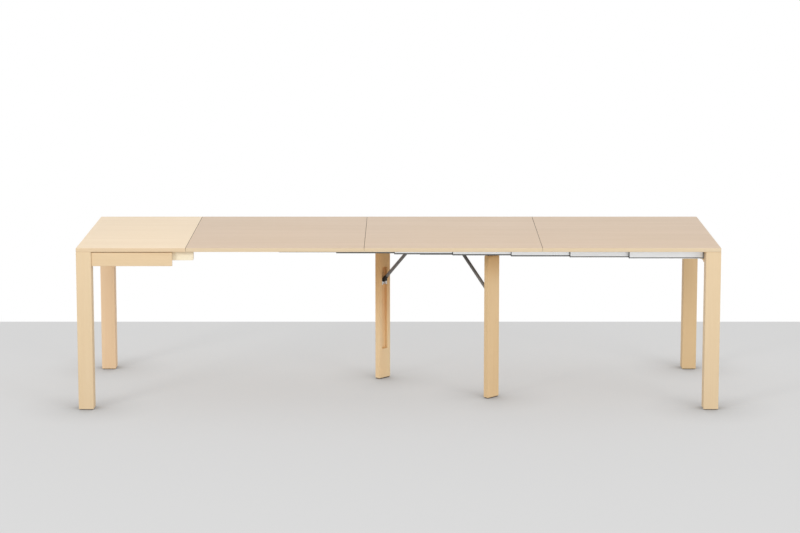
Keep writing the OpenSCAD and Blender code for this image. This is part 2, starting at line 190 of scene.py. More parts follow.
class NodeSheet:
    """A node tree that is being wired, column by column from left to right."""

    STEP_X = 220
    STEP_Y = 260
    MIX_INPUTS = (0, 6, 7)
    MIX_RESULT = 2

    def __init__(self, tree: bpy.types.NodeTree) -> None:
        """Empties the tree and starts on it."""
        self.tree = tree
        tree.nodes.clear()

    def add(
        self,
        kind: str,
        column: int,
        row: int = 0,
        feeds: Optional[Feeds] = None,
        **settings: object,
    ) -> bpy.types.Node:
        """Adds a node.

        Args:
            kind: The node's Blender type.
            column: Its column.
            row: Its row, downwards.
            feeds: The sockets or plain values that its inputs get, by name or number.
            **settings: Attributes of the node, such as operation.

        Returns:
            The node.
        """
        node = self.tree.nodes.new(kind)
        node.location = (column * self.STEP_X, -row * self.STEP_Y)
        for name, setting in settings.items():
            setattr(node, name, setting)
        for port, value in (feeds or {}).items():
            if isinstance(value, bpy.types.NodeSocket):
                self.tree.links.new(value, node.inputs[port])
            else:
                node.inputs[port].default_value = value
        return node

    def maths(self, operation: str, column: int, row: int, *values: Value) -> bpy.types.NodeSocket:
        """Adds a Math node.

        Args:
            operation: What it does, such as MULTIPLY.
            column: Its column.
            row: Its row.
            *values: What its inputs get.

        Returns:
            Its output.
        """
        feeds = dict(enumerate(values))
        return self.add("ShaderNodeMath", column, row, feeds, operation=operation).outputs[0]

    def mix(self, column: int, *values: Value, blend: str = "MIX") -> bpy.types.NodeSocket:
        """Adds a colour mix.

        Args:
            column: Its column.
            *values: The factor and the two colours.
            blend: The way that they are mixed.

        Returns:
            The mixed colour.
        """
        feeds = dict(zip(self.MIX_INPUTS, values))
        settings = {"data_type": "RGBA", "blend_type": blend, "clamp_factor": True}
        return self.add("ShaderNodeMix", column, 0, feeds, **settings).outputs[self.MIX_RESULT]

    def spread(
        self, column: int, row: int, value: Value, low: Value, high: Value
    ) -> bpy.types.NodeSocket:
        """Spreads a value from 0 to 1 between two limits.

        Args:
            column: The node's column.
            row: Its row.
            value: The value.
            low: Where 0 is.
            high: Where 1 is.

        Returns:
            The value after it.
        """
        feeds = {"Value": value, "From Min": low, "From Max": high}
        return self.add("ShaderNodeMapRange", column, row, feeds).outputs[0]

    def noise(self, row: int, vector: bpy.types.NodeSocket, noise: Noise) -> bpy.types.NodeSocket:
        """Adds a noise in columns 1 and 2.

        Args:
            row: Its row.
            vector: The coordinates, in metres.
            noise: Its form.

        Returns:
            The noise, around 0.5.
        """
        feeds = {0: vector, 1: noise.stretch}
        scaled = self.add("ShaderNodeVectorMath", 1, row, feeds, operation="MULTIPLY").outputs[0]
        feeds = {"Vector": scaled, "Scale": 1.0, "Detail": noise.detail}
        feeds["Distortion"] = noise.distortion
        return self.add("ShaderNodeTexNoise", 2, row, feeds).outputs[0]

    def close(self, column: int, **results: bpy.types.NodeSocket) -> bpy.types.NodeTree:
        """Ends a group with what it gives, and returns its tree."""
        self.add("NodeGroupOutput", column, 0, results)
        return self.tree


class Effects:
    """The shader node groups that several finishes share."""

    BANDS = Noise((0.7, 15.0, 15.0), 3.0, 0.8, 0.34, 0.66)
    FIBRES = Noise((3.5, 240.0, 240.0), 3.0)
    FLECKS = Noise((70.0, 620.0, 620.0), 2.0, 0.0, 0.6, 0.74)
    WIPES = Noise((3.0, 3.0, 3.0), 4.0, 0.4)
    TOUCHES = Noise((45.0, 45.0, 45.0), 2.0)
    LINES = Noise((1.6, 1500.0, 1500.0), 2.0)
    CLOUDS = Noise((5.0, 18.0, 18.0), 2.0)
    SPECKLE_DETAIL = 2.0
    SPECKLE_LIMITS = (0.3, 0.7)
    SKIN = 0.15 * MM

    def __init__(self) -> None:
        """Builds each group once."""
        self.grain = self._grain()
        self.handling = self._handling()
        self.brushing = self._brushing()
        self.speckle = self._speckle()
        self.slots = self._slots()
        self.height_shade = self._height_shade()

    @staticmethod
    def _group(
        name: str, colours: Sequence[str], values: Sequence[str], gives: Sequence[str]
    ) -> Tuple[NodeSheet, Sockets]:
        """Starts a group that reads a vector.

        Args:
            name: The group's name.
            colours: Its colour inputs.
            values: Its number inputs.
            gives: Its outputs, of which Color is a colour and each other one a number.

        Returns:
            The sheet that it is wired on, and what its inputs bring.
        """
        tree = bpy.data.node_groups.new(name, "ShaderNodeTree")
        ports = [("Vector", "INPUT", "Vector")]
        ports += [(port, "INPUT", "Color") for port in colours]
        ports += [(port, "INPUT", "Float") for port in values]
        ports += [(port, "OUTPUT", "Color" if port == "Color" else "Float") for port in gives]
        for port, way, kind in ports:
            tree.interface.new_socket(name=port, in_out=way, socket_type=f"NodeSocket{kind}")
        sheet = NodeSheet(tree)
        return sheet, sheet.add("NodeGroupInput", 0).outputs

    def _grain(self) -> bpy.types.NodeTree:
        """Straight fine grain, as of maple: soft bands, fibres and short flecks along X."""
        amounts = ("Bands", "Fibres", "Flecks")
        sheet, ports = self._group(
            "straight_grain", ("Wood", "Late Wood"), amounts, ("Color", "Height")
        )
        levels, shares = [], []
        for row, noise in enumerate((self.BANDS, self.FIBRES, self.FLECKS)):
            raw = sheet.noise(row, ports["Vector"], noise)
            levels.append(sheet.spread(3, row, raw, noise.low, noise.high))
            shares.append(sheet.maths("MULTIPLY", 4, row, levels[row], ports[amounts[row]]))
        tone = sheet.maths("ADD", 5, 0, shares[0], shares[1])
        tone = sheet.maths("ADD", 6, 0, tone, shares[2])
        colour = sheet.mix(7, tone, ports["Wood"], ports["Late Wood"])
        height = sheet.maths("SUBTRACT", 6, 2, levels[1], levels[2])
        return sheet.close(8, Color=colour, Height=height)

    def _handling(self) -> bpy.types.NodeTree:
        """Faint marks of wiping and touch, as a value around a middle one."""
        sheet, ports = self._group("handling_marks", (), ("Middle", "Spread"), ("Value",))
        wide = sheet.noise(0, ports["Vector"], self.WIPES)
        fine = sheet.noise(1, ports["Vector"], self.TOUCHES)
        level = sheet.maths("SUBTRACT", 4, 0, sheet.maths("ADD", 3, 0, wide, fine), 1.0)
        level = sheet.maths("MULTIPLY", 5, 0, level, ports["Spread"])
        return sheet.close(7, Value=sheet.maths("ADD", 6, 0, level, ports["Middle"]))

    def _brushing(self) -> bpy.types.NodeTree:
        """Drawing lines along X, as on an extrusion or a plated strip."""
        sheet, ports = self._group(
            "drawing_lines", ("Metal", "Line"), ("Strength",), ("Color", "Height")
        )
        lines = sheet.noise(0, ports["Vector"], self.LINES)
        clouds = sheet.noise(1, ports["Vector"], self.CLOUDS)
        both = sheet.maths("MULTIPLY", 3, 0, lines, clouds)
        amount = sheet.maths("MULTIPLY", 4, 0, both, ports["Strength"])
        colour = sheet.mix(5, amount, ports["Metal"], ports["Line"])
        return sheet.close(6, Color=colour, Height=lines)

    def _speckle(self) -> bpy.types.NodeTree:
        """The fine even texture of a sprayed coat or a moulded skin."""
        sheet, ports = self._group(
            "fine_speckle", ("Coat", "Shade"), ("Fineness",), ("Color", "Height")
        )
        feeds = {"Vector": ports["Vector"], "Scale": ports["Fineness"]}
        feeds["Detail"] = self.SPECKLE_DETAIL
        raw = sheet.add("ShaderNodeTexNoise", 1, 0, feeds).outputs[0]
        level = sheet.spread(2, 0, raw, *self.SPECKLE_LIMITS)
        colour = sheet.mix(3, level, ports["Coat"], ports["Shade"])
        return sheet.close(4, Color=colour, Height=level)

    def _height_shade(self) -> bpy.types.NodeTree:
        """Painted shade, as a tint multiplied in with the height between two levels."""
        sheet, ports = self._group("height_shade", ("Wood", "Deep"), ("From", "To"), ("Color",))
        axes = sheet.add("ShaderNodeSeparateXYZ", 1, 0, {0: ports["Vector"]}).outputs
        fade = sheet.spread(2, 0, axes["Z"], ports["From"], ports["To"])
        colour = sheet.mix(3, fade, ports["Wood"], ports["Deep"], blend="MULTIPLY")
        return sheet.close(4, Color=colour)

    def _slots(self) -> bpy.types.NodeTree:
        """The mask of the rails' painted shade, which is 1 on the walls of their guide slots.

        The slots lie at one height in all rails, and repeat across the table with the pitch
        of a pack. Below the strip's top the mask is 1 too.
        """
        measures = ("First Face", "Pitch", "Depth", "Middle", "Low", "High", "Strip Top")
        sheet, ports = self._group("guide_slot_shade", (), measures, ("Mask",))
        axes = sheet.add("ShaderNodeSeparateXYZ", 1, 0, {0: ports["Vector"]}).outputs
        across = sheet.maths("ABSOLUTE", 2, 0, axes["Y"])
        from_first = sheet.maths("SUBTRACT", 3, 0, ports["First Face"], across)
        inward = sheet.maths("FLOORED_MODULO", 4, 0, from_first, ports["Pitch"])
        below_skin = sheet.maths("GREATER_THAN", 5, 0, inward, self.SKIN)
        above_floor = sheet.maths("LESS_THAN", 5, 1, inward, ports["Depth"])
        height = sheet.maths("SUBTRACT", 2, 2, axes["Z"], ports["Middle"])
        height = sheet.maths("ABSOLUTE", 3, 2, height)
        over_low = sheet.maths("GREATER_THAN", 4, 2, height, ports["Low"])
        under_high = sheet.maths("LESS_THAN", 4, 3, height, ports["High"])
        deep = sheet.maths("MULTIPLY", 6, 0, below_skin, above_floor)
        level = sheet.maths("MULTIPLY", 6, 2, over_low, under_high)
        slots = sheet.maths("MULTIPLY", 7, 0, deep, level)
        strip = sheet.maths("LESS_THAN", 7, 2, axes["Z"], ports["Strip Top"])
        return sheet.close(9, Mask=sheet.maths("MAXIMUM", 8, 0, slots, strip))


class FinishSheet(NodeSheet):
    """The node tree of one material, with its coordinates in place."""

    def __init__(self, name: str, grain: Grain) -> None:
        """Makes the material.

        Args:
            name: The material's name.
            grain: The way that its grain or its lines run.
        """
        self.material = bpy.data.materials.new(name)
        self.material.use_nodes = True
        super().__init__(self.material.node_tree)
        self.place = self.add("ShaderNodeTexCoord", 0).outputs["Object"]
        feeds = {"Vector": self.place, "Rotation": grain.value}
        self.vector = self.add("ShaderNodeMapping", 1, 0, feeds).outputs["Vector"]

    def group(self, tree: bpy.types.NodeTree, row: int, **values: Value) -> Sockets:
        """Places a shared effect.

        Args:
            tree: The effect's group.
            row: The row that it stands in.
            **values: What its inputs get, with underscores for spaces.

        Returns:
            What it gives.
        """
        feeds = {"Vector": self.vector}
        feeds.update({name.replace("_", " "): value for name, value in values.items()})
        return self.add("ShaderNodeGroup", 2, row, feeds, node_tree=tree).outputs


@dataclass(frozen=True)
class Finish:
    """What every finish has: two tones, how it shines, and a fine relief."""

    name: str
    tone: Colour
    second_tone: Colour
    grain: Grain = Grain.ALONG_X
    roughness: float = 0.5
    handling: float = 0.12
    metallic: float = 0.0
    reflection: float = 0.5
    relief: float = 0.05 * MM
    relief_strength: float = 0.5

    def pattern(self, sheet: FinishSheet, effects: Effects) -> Pattern:
        """Lays the finish's own pattern.

        Args:
            sheet: The material's sheet.
            effects: The shared effects.

        Returns:
            The colour and the height that the pattern gives.
        """
        raise NotImplementedError

    def make(self, effects: Effects) -> bpy.types.Material:
        """Builds the material.

        Args:
            effects: The shared effects.

        Returns:
            The material.
        """
        sheet = FinishSheet(self.name, self.grain)
        colour, height = self.pattern(sheet, effects)
        marks = sheet.group(effects.handling, 1, Middle=self.roughness, Spread=self.handling)
        feeds = {"Strength": self.relief_strength, "Distance": self.relief, "Height": height}
        bump = sheet.add("ShaderNodeBump", 4, 2, feeds)
        feeds = {
            "Base Color": colour,
            "Roughness": marks["Value"],
            "Metallic": self.metallic,
            "Specular IOR Level": self.reflection,
            "Normal": bump.outputs["Normal"],
        }
        shader = sheet.add("ShaderNodeBsdfPrincipled", 5, 0, feeds)
        sheet.add("ShaderNodeOutputMaterial", 7, 0, {"Surface": shader.outputs[0]})
        return sheet.material


@dataclass(frozen=True)
class WoodFinish(Finish):
    """Lacquered or coated wood with a straight grain."""

    roughness: float = 0.55
    reflection: float = 0.25
    relief: float = 0.04 * MM
    bands: float = 0.35
    fibres: float = 0.3
    flecks: float = 0.25

    def pattern(self, sheet: FinishSheet, effects: Effects) -> Pattern:
        """Lays the grain."""
        grain = sheet.group(
            effects.grain,
            0,
            Wood=linear(self.tone),
            Late_Wood=linear(self.second_tone),
            Bands=self.bands,
            Fibres=self.fibres,
            Flecks=self.flecks,
        )
        return grain["Color"], grain["Height"]


@dataclass(frozen=True)
class ShadedTopWoodFinish(WoodFinish):
    """Wood with painted shade, which deepens its colour towards its upper end."""

    # deep is the colour of the painted shade, which the two heights below fade in.
    deep: Colour = (253, 238, 214)
    shade_from: float = 560 * MM
    shade_to: float = 690 * MM

    def pattern(self, sheet: FinishSheet, effects: Effects) -> Pattern:
        """Multiplies painted shade into the grained wood's colour, more with the height."""
        colour, height = super().pattern(sheet, effects)
        height_shade = sheet.group(
            effects.height_shade,
            3,
            Vector=sheet.place,
            Wood=colour,
            Deep=linear(self.deep),
            From=self.shade_from,
            To=self.shade_to,
        )
        return height_shade["Color"], height


@dataclass(frozen=True)
class MetalFinish(Finish):
    """Drawn, plated or anodised metal."""

    roughness: float = 0.36
    metallic: float = 1.0
    relief: float = 0.02 * MM
    relief_strength: float = 0.35
    lines: float = 0.9

    def pattern(self, sheet: FinishSheet, effects: Effects) -> Pattern:
        """Lays the lines of drawing."""
        drawn = sheet.group(
            effects.brushing,
            0,
            Metal=linear(self.tone),
            Line=linear(self.second_tone),
            Strength=self.lines,
        )
        return drawn["Color"], drawn["Height"]


@dataclass(frozen=True)
class RailFinish(MetalFinish):
    """The metal of the rails, with painted shade in their guide slots.

    The painted shade also covers their lower edge and underside, up to the strip's top.
    """

    # The colour of the painted shade.
    painted_shade: Colour = (138, 139, 139)
    first_face: float = 372 * MM
    pitch: float = 27.5 * MM
    depth: float = 7.2 * MM
    middle: float = 729.1 * MM
    low: float = 12.3 * MM
    high: float = 20.6 * MM
    shade_strip_top: float = 706.8 * MM

    def pattern(self, sheet: FinishSheet, effects: Effects) -> Pattern:
        """Mixes the painted shade in where the slots are and below the strip's top."""
        drawn, height = super().pattern(sheet, effects)
        slots = sheet.group(
            effects.slots,
            2,
            First_Face=self.first_face,
            Pitch=self.pitch,
            Depth=self.depth,
            Middle=self.middle,
            Low=self.low,
            High=self.high,
            Strip_Top=self.shade_strip_top,
        )
        return sheet.mix(4, slots["Mask"], drawn, linear(self.painted_shade)), height


@dataclass(frozen=True)
class CoatedFinish(Finish):
    """Powder coat, lacquer or moulded plastic with a fine even texture."""

    handling: float = 0.1
    reflection: float = 0.4
    relief_strength: float = 0.6
    fineness: float = 500.0

    def pattern(self, sheet: FinishSheet, effects: Effects) -> Pattern:
        """Lays the speckle."""
        speckle = sheet.group(
            effects.speckle,
            0,
            Coat=linear(self.tone),
            Shade=linear(self.second_tone),
            Fineness=self.fineness,
        )
        return speckle["Color"], speckle["Height"]


class Palette:
    """Every finish of the table, made when it is first asked for."""

    FINISHES: Tuple[Finish, ...] = (
        WoodFinish("console_face", (253, 232, 203), (244, 221, 189)),
        WoodFinish("console_edge", (234, 210, 176), (223, 195, 157)),
        WoodFinish("leaf_face", (226, 203, 180), (215, 191, 165)),
        WoodFinish("leaf_edge", (230, 210, 179), (219, 195, 159)),
        WoodFinish("joint_edge", (108, 70, 42), (88, 56, 32), Grain.ALONG_Y),
        WoodFinish("board_underside", (218, 182, 136), (206, 168, 121)),
        WoodFinish("leg_wood", (232, 208, 172), (223, 196, 156), Grain.ALONG_Z),
        # rear_left_wood is leg_wood painted lighter, and rear_right_wood is leg_wood painted
        # darker and warmer: painted light and painted shade on the rear legs.
        WoodFinish("rear_left_wood", (243, 213, 176), (235, 201, 161), Grain.ALONG_Z),
        WoodFinish("rear_right_wood", (228, 199, 156), (218, 187, 141), Grain.ALONG_Z),
        WoodFinish("apron_wood", (234, 208, 170), (224, 195, 154)),
        WoodFinish("crossbar_wood", (235, 208, 168), (225, 194, 151), Grain.ALONG_Y),
        # Both folding legs' woods carry painted shade that deepens towards their tops.
        ShadedTopWoodFinish("front_fold_wood", (238, 208, 163), (228, 194, 147), Grain.ALONG_Z),
        # rear_fold_wood is front_fold_wood painted lighter: painted light on the rear folding leg
        # under the table.
        ShadedTopWoodFinish(
            "rear_fold_wood",
            (254, 227, 184),
            (247, 214, 168),
            Grain.ALONG_Z,
            deep=(246, 226, 200),
            shade_from=200 * MM,
            shade_to=540 * MM,
        ),
        CoatedFinish("bearer_lacquer", (254, 243, 216), (250, 238, 209), fineness=60.0),
        # The rails carry painted shade in their slots and along their lower edge; the inner rails,
        # deeper under the boards, have it darker and higher.
        RailFinish("anodised_rail", (251, 253, 254), (236, 238, 240), metallic=0.75),
        RailFinish(
            "inner_rail",
            (252, 253, 254),
            (240, 241, 242),
            roughness=0.3,
            metallic=0.92,
            painted_shade=(121, 122, 121),
            shade_strip_top=711.8 * MM,
        ),
        MetalFinish("zinc_plate", (196, 198, 200), (166, 168, 170)),
        MetalFinish("bright_plate", (240, 241, 242), (222, 223, 225), metallic=0.6),
        CoatedFinish("dark_powder", (122, 120, 117), (106, 104, 102), fineness=900.0),
        CoatedFinish(
            "brace_powder", (136, 133, 131), (122, 119, 117), roughness=0.45, fineness=900.0
        ),
        CoatedFinish("foot_rubber", (112, 96, 80), (98, 83, 68), roughness=0.65, fineness=700.0),
        CoatedFinish("cap_plastic", (96, 98, 99), (84, 86, 87)),
        # The grey band on the outermost rails is painted shade where they meet the end frames.
        CoatedFinish("painted_shade_band", (146, 149, 151), (134, 137, 139)),
        CoatedFinish("black_plastic", (34, 34, 35), (26, 26, 27)),
    )

    def __init__(self) -> None:
        """Builds the shared effects."""
        self.effects = Effects()
        self._made: Dict[str, bpy.types.Material] = {}

    def get(self, name: str) -> bpy.types.Material:
        """Returns the material of a finish by its name."""
        if name not in self._made:
            finish = next(item for item in self.FINISHES if item.name == name)
            self._made[name] = finish.make(self.effects)
        return self._made[name]


# Shaping


@dataclass(frozen=True)
class Box:
    """A box along the axes, in metres."""

    low: Vector
    high: Vector

    @classmethod
    def of_node(cls, node: str) -> "Box":
        """Returns the box of a CAD node."""
        low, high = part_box(node)
        return cls(Vector(low), Vector(high))

    @property
    def size(self) -> Vector:
        """The lengths of its sides."""
        return self.high - self.low

    @property
    def centre(self) -> Vector:
        """Its middle."""
        return (self.low + self.high) / 2

    def outer_y(self, side: str) -> float:
        """Returns where its outer face is if it stands on that side of the table."""
        return self.low.y if side == "front" else self.high.y


def facing(mesh: bmesh.types.BMesh, way: Vector) -> List[bmesh.types.BMFace]:
    """Returns the faces of a mesh that look along a way of length 1."""
    mesh.normal_update()
    return [face for face in mesh.faces if face.normal.dot(way) > LOOKS_ALONG]


def bevel(
    mesh: bmesh.types.BMesh,
    edges: Sequence[bmesh.types.BMEdge],
    rounding: float,
    segments: int,
) -> List[bmesh.types.BMFace]:
    """Rounds edges.

    Args:
        mesh: The mesh.
        edges: Its edges.
        rounding: The radius.
        segments: The facets across a rounding.

    Returns:
        The faces of the roundings.
    """
    return bmesh.ops.bevel(
        mesh,
        geom=edges,
        offset=rounding,
        offset_type="OFFSET",
        affect="EDGES",
        segments=segments,
        profile=0.5,
        material=-1,
    )["faces"]


def cut(mesh: bmesh.types.BMesh, point: Triple, normal: Triple) -> None:
    """Cuts a mesh along a plane and keeps both sides.

    Args:
        mesh: The mesh.
        point: A point of the plane.
        normal: The way that the plane faces.
    """
    everything = [*mesh.verts, *mesh.edges, *mesh.faces]
    bmesh.ops.bisect_plane(mesh, geom=everything, plane_co=point, plane_no=normal)


def extrude(
    mesh: bmesh.types.BMesh, faces: List[bmesh.types.BMFace], by: Vector
) -> List[bmesh.types.BMFace]:
    """Extrudes faces, which close the start of what they make.

    Args:
        mesh: The mesh.
        faces: The faces.
        by: How far, and which way.

    Returns:
        The faces at the other end.
    """
    made = bmesh.ops.extrude_face_region(mesh, geom=faces)["geom"]
    verts = [item for item in made if isinstance(item, bmesh.types.BMVert)]
    bmesh.ops.translate(mesh, vec=by, verts=verts)
    return [item for item in made if isinstance(item, bmesh.types.BMFace)]


def draw_out(
    mesh: bmesh.types.BMesh, faces: List[bmesh.types.BMFace], by: Vector
) -> List[bmesh.types.BMFace]:
    """Draws faces out, leaving nothing where they start.

    Args:
        mesh: The mesh.
        faces: The faces.
        by: How far, and which way.

    Returns:
        The faces in their new place.
    """
    drawn = extrude(mesh, faces, by)
    bmesh.ops.delete(mesh, geom=faces, context="FACES_ONLY")
    return drawn


def turn_about(
    mesh: bmesh.types.BMesh,
    start: Sequence[object],
    centre: Vector,
    axis: Vector,
    angle: float,
    steps: int,
) -> None:
    """Turns vertices and edges about an axis, leaving a trail of edges or faces.

    Args:
        mesh: The mesh.
        start: The vertices and edges.
        centre: A point of the axis.
        axis: The way that it runs.
        angle: How far they turn.
        steps: In how many steps.
    """
    full = math.isclose(angle, 2 * math.pi)
    bmesh.ops.spin(
        mesh, geom=start, cent=centre, axis=axis, angle=angle, steps=steps, use_merge=full
    )


def add_cylinder(
    mesh: bmesh.types.BMesh, radius: float, length: float, place: Matrix, facets: int
) -> None:
    """Adds a closed cylinder along Z, around its middle.

    Args:
        mesh: The mesh that it is added to.
        radius: Its radius.
        length: Its length.
        place: Its place.
        facets: The facets around it.
    """
    bmesh.ops.create_cone(
        mesh,
        cap_ends=True,
        segments=facets,
        radius1=radius,
        radius2=radius,
        depth=length,
        matrix=place,
    )


def add_plain_box(mesh: bmesh.types.BMesh, box: Box) -> List[bmesh.types.BMVert]:
    """Adds a box with sharp edges, to be shaped further.

    Args:
        mesh: The mesh that it is added to.
        box: Its place and size.

    Returns:
        Its corners.
    """
    made = bmesh.ops.create_cube(mesh, size=1.0)["verts"]
    bmesh.ops.scale(mesh, vec=box.size, verts=made)
    bmesh.ops.translate(mesh, vec=box.centre, verts=made)
    return made


def add_block(mesh: bmesh.types.BMesh, box: Box, rounding: float, corner: float = 0.0) -> None:
    """Adds a block with rounded edges.

    Args:
        mesh: The mesh that it is added to.
        box: Its place and size.
        rounding: The radius of its edges.
        corner: The radius of its upright corners, if that differs.
    """

    def rise(edge: bmesh.types.BMEdge) -> float:
        """Returns how much higher one end of an edge is than the other."""
        return abs((edge.verts[0].co - edge.verts[1].co).z)

    edges = {edge for vert in add_plain_box(mesh, box) for edge in vert.link_edges}
    if corner:
        upright = [edge for edge in edges if rise(edge) > box.size.z / 2]
        rounded = bevel(mesh, upright, corner, CORNER_FACETS)
        around = {vert for face in rounded for vert in face.verts}
        edges = {edge for vert in around for edge in vert.link_edges if rise(edge) < LEVEL_WITHIN}
    bevel(mesh, list(edges), rounding, EDGE_FACETS)


def round_corners(mesh: bmesh.types.BMesh, rounding: float) -> None:
    """Rounds every edge of a mesh at which it turns a corner.

    Args:
        mesh: The mesh.
        rounding: The radius.
    """
    mesh.normal_update()
    edges = [
        edge
        for edge in mesh.edges
        if len(edge.link_faces) == 2 and edge.calc_face_angle(0.0) > SHARP_TURN
    ]
    bevel(mesh, edges, rounding, FINE_FACETS)


@dataclass(frozen=True)
class SocketBolt:
    """A cylinder-head bolt with a hexagon socket."""

    shank_length: float
    shank_radius: float = 3 * MM
    shank_facets: int = 24
    head_radius: float = 6.5 * MM
    head_height: float = 4 * MM
    head_rounding: float = 0.6 * MM
    rim: float = 2.275 * MM
    socket_radius: float = 2.9 * MM
    socket_depth: float = 2.4 * MM

    def add_to(self, mesh: bmesh.types.BMesh, place: Matrix) -> None:
        """Adds the bolt to a mesh.

        Args:
            mesh: The mesh, in which nothing else has a flat end that looks up.
            place: Its place, with the head up along Z and its seat at 0.
        """
        start = set(mesh.verts)
        middle = Matrix.Translation(UP * (self.head_height / 2))
        add_cylinder(mesh, self.head_radius, self.head_height, middle, ROUND_FACETS)
        bevel(mesh, list(self._top(mesh).edges), self.head_rounding, FINE_FACETS)
        top = self._top(mesh)
        bmesh.ops.inset_region(mesh, faces=[top], thickness=self.rim)
        half_side = math.pi / 6
        for vert in top.verts:
            angle = math.atan2(vert.co.y, vert.co.x) % (2 * half_side)
            radius = self.socket_radius * math.cos(half_side) / math.cos(angle - half_side)
            vert.co.xy = vert.co.xy.normalized() * radius
        draw_out(mesh, [top], UP * -self.socket_depth)
        middle = Matrix.Translation(UP * (-self.shank_length / 2))
        add_cylinder(mesh, self.shank_radius, self.shank_length, middle, self.shank_facets)
        made = [vert for vert in mesh.verts if vert not in start]
        bmesh.ops.transform(mesh, matrix=place, verts=made)

    @staticmethod
    def _top(mesh: bmesh.types.BMesh) -> bmesh.types.BMFace:
        """Returns the flat top of the head that stands upright."""
        return next(face for face in facing(mesh, UP) if len(face.verts) > 4)


class Workshop:
    """Makes the pieces of the table, finishes them and sets them on their bodies."""

    MERGED_BELOW = 1e-6
    TIMBER_SMOOTH = 60.0

    def __init__(self, frame: Dict[str, object], palette: Palette) -> None:
        """Keeps the frame and the finishes.

        Args:
            palette: The finishes.
        """
        self.frame = frame
        self.palette = palette

    def joint(self, name: str) -> Dict[str, object]:
        """Returns the record of a joint by its name."""
        joints = self.frame["record"]["behaviour"]["joints"]
        return next(item for item in joints if item["name"] == name)

    def body_of(self, node: str) -> str:
        """Returns the body that a CAD node belongs to."""
        bodies = self.frame["record"]["behaviour"]["bodies"]
        return next(body for body, nodes in bodies.items() if node in nodes)

    def box_along(self, node: str, place: Matrix) -> Box:
        """Returns the box of a CAD node along the axes of a place.

        Args:
            node: The node.
            place: The place.

        Returns:
            The box, as seen from the place.
        """
        back = place.inverted()
        corners = [back @ Vector(vert.co) for vert in self.frame["nodes"][node].data.vertices]
        low = Vector([min(corner[axis] for corner in corners) for axis in range(3)])
        high = Vector([max(corner[axis] for corner in corners) for axis in range(3)])
        return Box(low, high)

    def dress(self, node: str, finish: str) -> None:
        """Gives a CAD node its finish.

        Args:
            node: The node's name.
            finish: The finish's name.
        """
        shape = self.frame["nodes"][node]
        material = self.palette.get(finish)
        if shape.material_slots:
            for slot in shape.material_slots:
                slot.material = material
        else:
            shape.data.materials.append(material)
        LOG.info("dressed %s in %s", node, finish)

    def piece(
        self,
        name: str,
        mesh: bmesh.types.BMesh,
        finishes: Sequence[str],
        slot: Slot,
        node: str,
        stands_for: bool = True,
        smooth_below: float = 40.0,
        place: Optional[Matrix] = None,
    ) -> None:
        """Turns a finished mesh into a piece of the table.

        Args:
            name: The piece's name.
            mesh: Its mesh, which is freed.
            finishes: Its finishes, by material index.
            slot: The record's slot; not used.
            node: The CAD node whose body it rides on.
            stands_for: Whether it stands for that node.
            smooth_below: Edges that turn by less than this many degrees are shaded smooth.
            place: Where it goes, if it was made at the origin.
        """
        if place:
            bmesh.ops.transform(mesh, matrix=place, verts=mesh.verts)
        bmesh.ops.remove_doubles(mesh, verts=mesh.verts, dist=self.MERGED_BELOW)
        bmesh.ops.recalc_face_normals(mesh, faces=mesh.faces)
        limit = math.radians(smooth_below)
        for face in mesh.faces:
            face.smooth = True
        for edge in mesh.edges:
            edge.smooth = len(edge.link_faces) == 2 and edge.calc_face_angle(0.0) < limit
        data = bpy.data.meshes.new(name)
        mesh.to_mesh(data)
        mesh.free()
        shape = bpy.data.objects.new(name, data)
        bpy.context.scene.collection.objects.link(shape)
        for finish in finishes:
            data.materials.append(self.palette.get(finish))
        body = self.body_of(node)
        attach(shape, body)
        if stands_for:
            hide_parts(node)
        LOG.info("made %s on %s, %d faces", name, body, len(data.polygons))

    def timber(self, name: str, node: str, finish: str, slot: Slot, rounding: float) -> None:
        """Makes a plain wooden member with rounded edges.

        Args:
            name: The piece's name.
            node: The CAD node that it stands for.
            finish: Its finish.
            slot: Its slot in the record.
            rounding: The radius of its edges.
        """
        mesh = bmesh.new()
        add_block(mesh, Box.of_node(node), rounding)
        self.piece(name, mesh, [finish], slot, node, smooth_below=self.TIMBER_SMOOTH)


# Sub-assemblies


@dataclass
class TopBoards:
    """The console top and the three leaves."""

    shop: Workshop
    rounding: float = 1.4 * MM
    leaves: int = 3
    least_end: float = 0.2
    most_side: float = 0.6

    def build(self) -> None:
        """Makes every board."""
        self._board("console_top", "console", Slot.TOP, (False, True))
        for number in range(1, self.leaves + 1):
            self._board(f"leaf_{number}", "leaf", Slot.LEAF, (True, number < self.leaves))

    def _board(self, node: str, kind: str, slot: Slot, joints: Tuple[bool, bool]) -> None:
        """Makes one board.

        Args:
            node: The CAD node that it stands for.
            kind: What the names of its finishes start with.
            slot: Its slot in the record.
            joints: Whether its left and its right end meet another board.
        """
        mesh = bmesh.new()
        add_block(mesh, Box.of_node(node), self.rounding)
        mesh.normal_update()
        for face in mesh.faces:
            face.material_index = self._part(face.normal, joints).value
        finishes = (f"{kind}_face", f"{kind}_edge", "joint_edge", "board_underside")
        smooth = self.shop.TIMBER_SMOOTH
        self.shop.piece(f"{node}_board", mesh, finishes, slot, node, smooth_below=smooth)

    def _part(self, normal: Vector, joints: Tuple[bool, bool]) -> BoardPart:
        """Tells which part of a board a face belongs to.

        Args:
            normal: The way that the face looks.
            joints: Whether the board's left and its right end meet another board.

        Returns:
            The part.
        """
        if abs(normal.z) > LOOKS_ALONG:
            return BoardPart.FACE if normal.z > 0 else BoardPart.UNDERSIDE
        at_end = abs(normal.x) > self.least_end and abs(normal.y) < self.most_side
        return BoardPart.JOINT if at_end and joints[normal.x > 0] else BoardPart.EDGE


